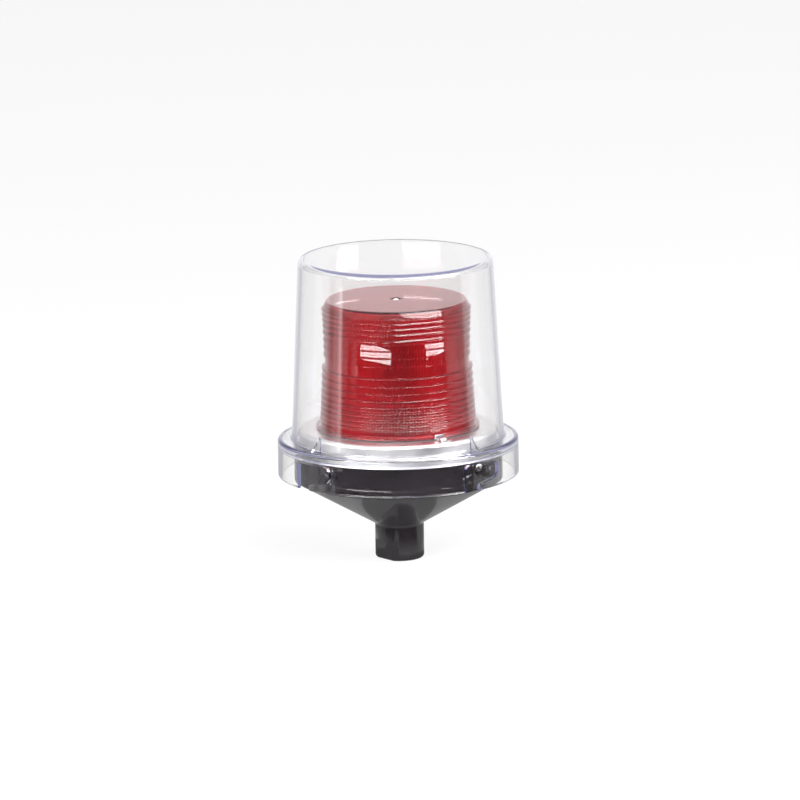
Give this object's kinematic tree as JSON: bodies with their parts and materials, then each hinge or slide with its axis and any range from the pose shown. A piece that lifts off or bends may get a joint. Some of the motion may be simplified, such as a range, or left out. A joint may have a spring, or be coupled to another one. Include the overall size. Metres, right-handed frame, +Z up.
{
  "type": "strobe light",
  "caption": "Flashing warning light: red ribbed lens over a flash tube on a black cone-shaped base with a pipe-thread hub, under a clear guard dome with a bayonet twist lock.",
  "frame": {"origin": "centre of the hub's lower face, on the axis of the pipe thread", "axes": "+Z up along the light's axis, -Y towards the front as pictured, +X to the right seen from the front"},
  "size_m": [0.17, 0.17, 0.216],
  "materials": {
    "black_housing": "glossy black moulding",
    "clear_dome": "clear polycarbonate",
    "red_lens": "transparent red, ribbed",
    "deck_aluminium": "satin drawn sheet",
    "seal_rubber": "matt",
    "screw_steel": "plated",
    "socket_black": "moulded phenolic",
    "tube_glass": "clear",
    "contact_brass": "plain",
    "board_green": "laminate",
    "capacitor_sleeve": "shrink sleeve",
    "core_grey": "laminated core",
    "winding_tape": "taped winding",
    "lead_sleeve": "insulated lead"
  },
  "bodies": {
    "base": {"base_housing": "black_housing", "bayonet_lugs": "black_housing", "lock_screw": "screw_steel", "dome_gasket": "seal_rubber", "deck_pan": "deck_aluminium", "deck_screws": "screw_steel", "lens": "red_lens", "lens_seal": "seal_rubber", "lens_clips": "screw_steel", "lens_screws": "screw_steel", "tube_socket": "socket_black", "socket_screws": "screw_steel", "tube_plug": "socket_black", "tube_pins": "contact_brass", "flash_tube": "tube_glass", "tube_end_caps": "contact_brass", "trigger_wire": "screw_steel", "tube_cover": "tube_glass", "circuit_board": "board_green", "board_pillars": "contact_brass", "board_screws": "screw_steel", "storage_capacitor": "capacitor_sleeve", "transformer_core": "core_grey", "transformer_winding": "winding_tape", "trigger_coil": "winding_tape", "heat_sink": "deck_aluminium", "power_transistor": "socket_black", "terminal_block": "board_green", "terminal_screws": "screw_steel", "socket_leads": "lead_sleeve", "earth_screw": "contact_brass"},
    "dome": {"guard_dome": "clear_dome"}
  },
  "joints": [
    {"name": "dome_twist", "type": "hinge", "parent": "base", "child": "dome", "pos_m": [0, 0, 0.0813], "axis": [0, 0, 1], "range_deg": [0, 14]}
  ]
}
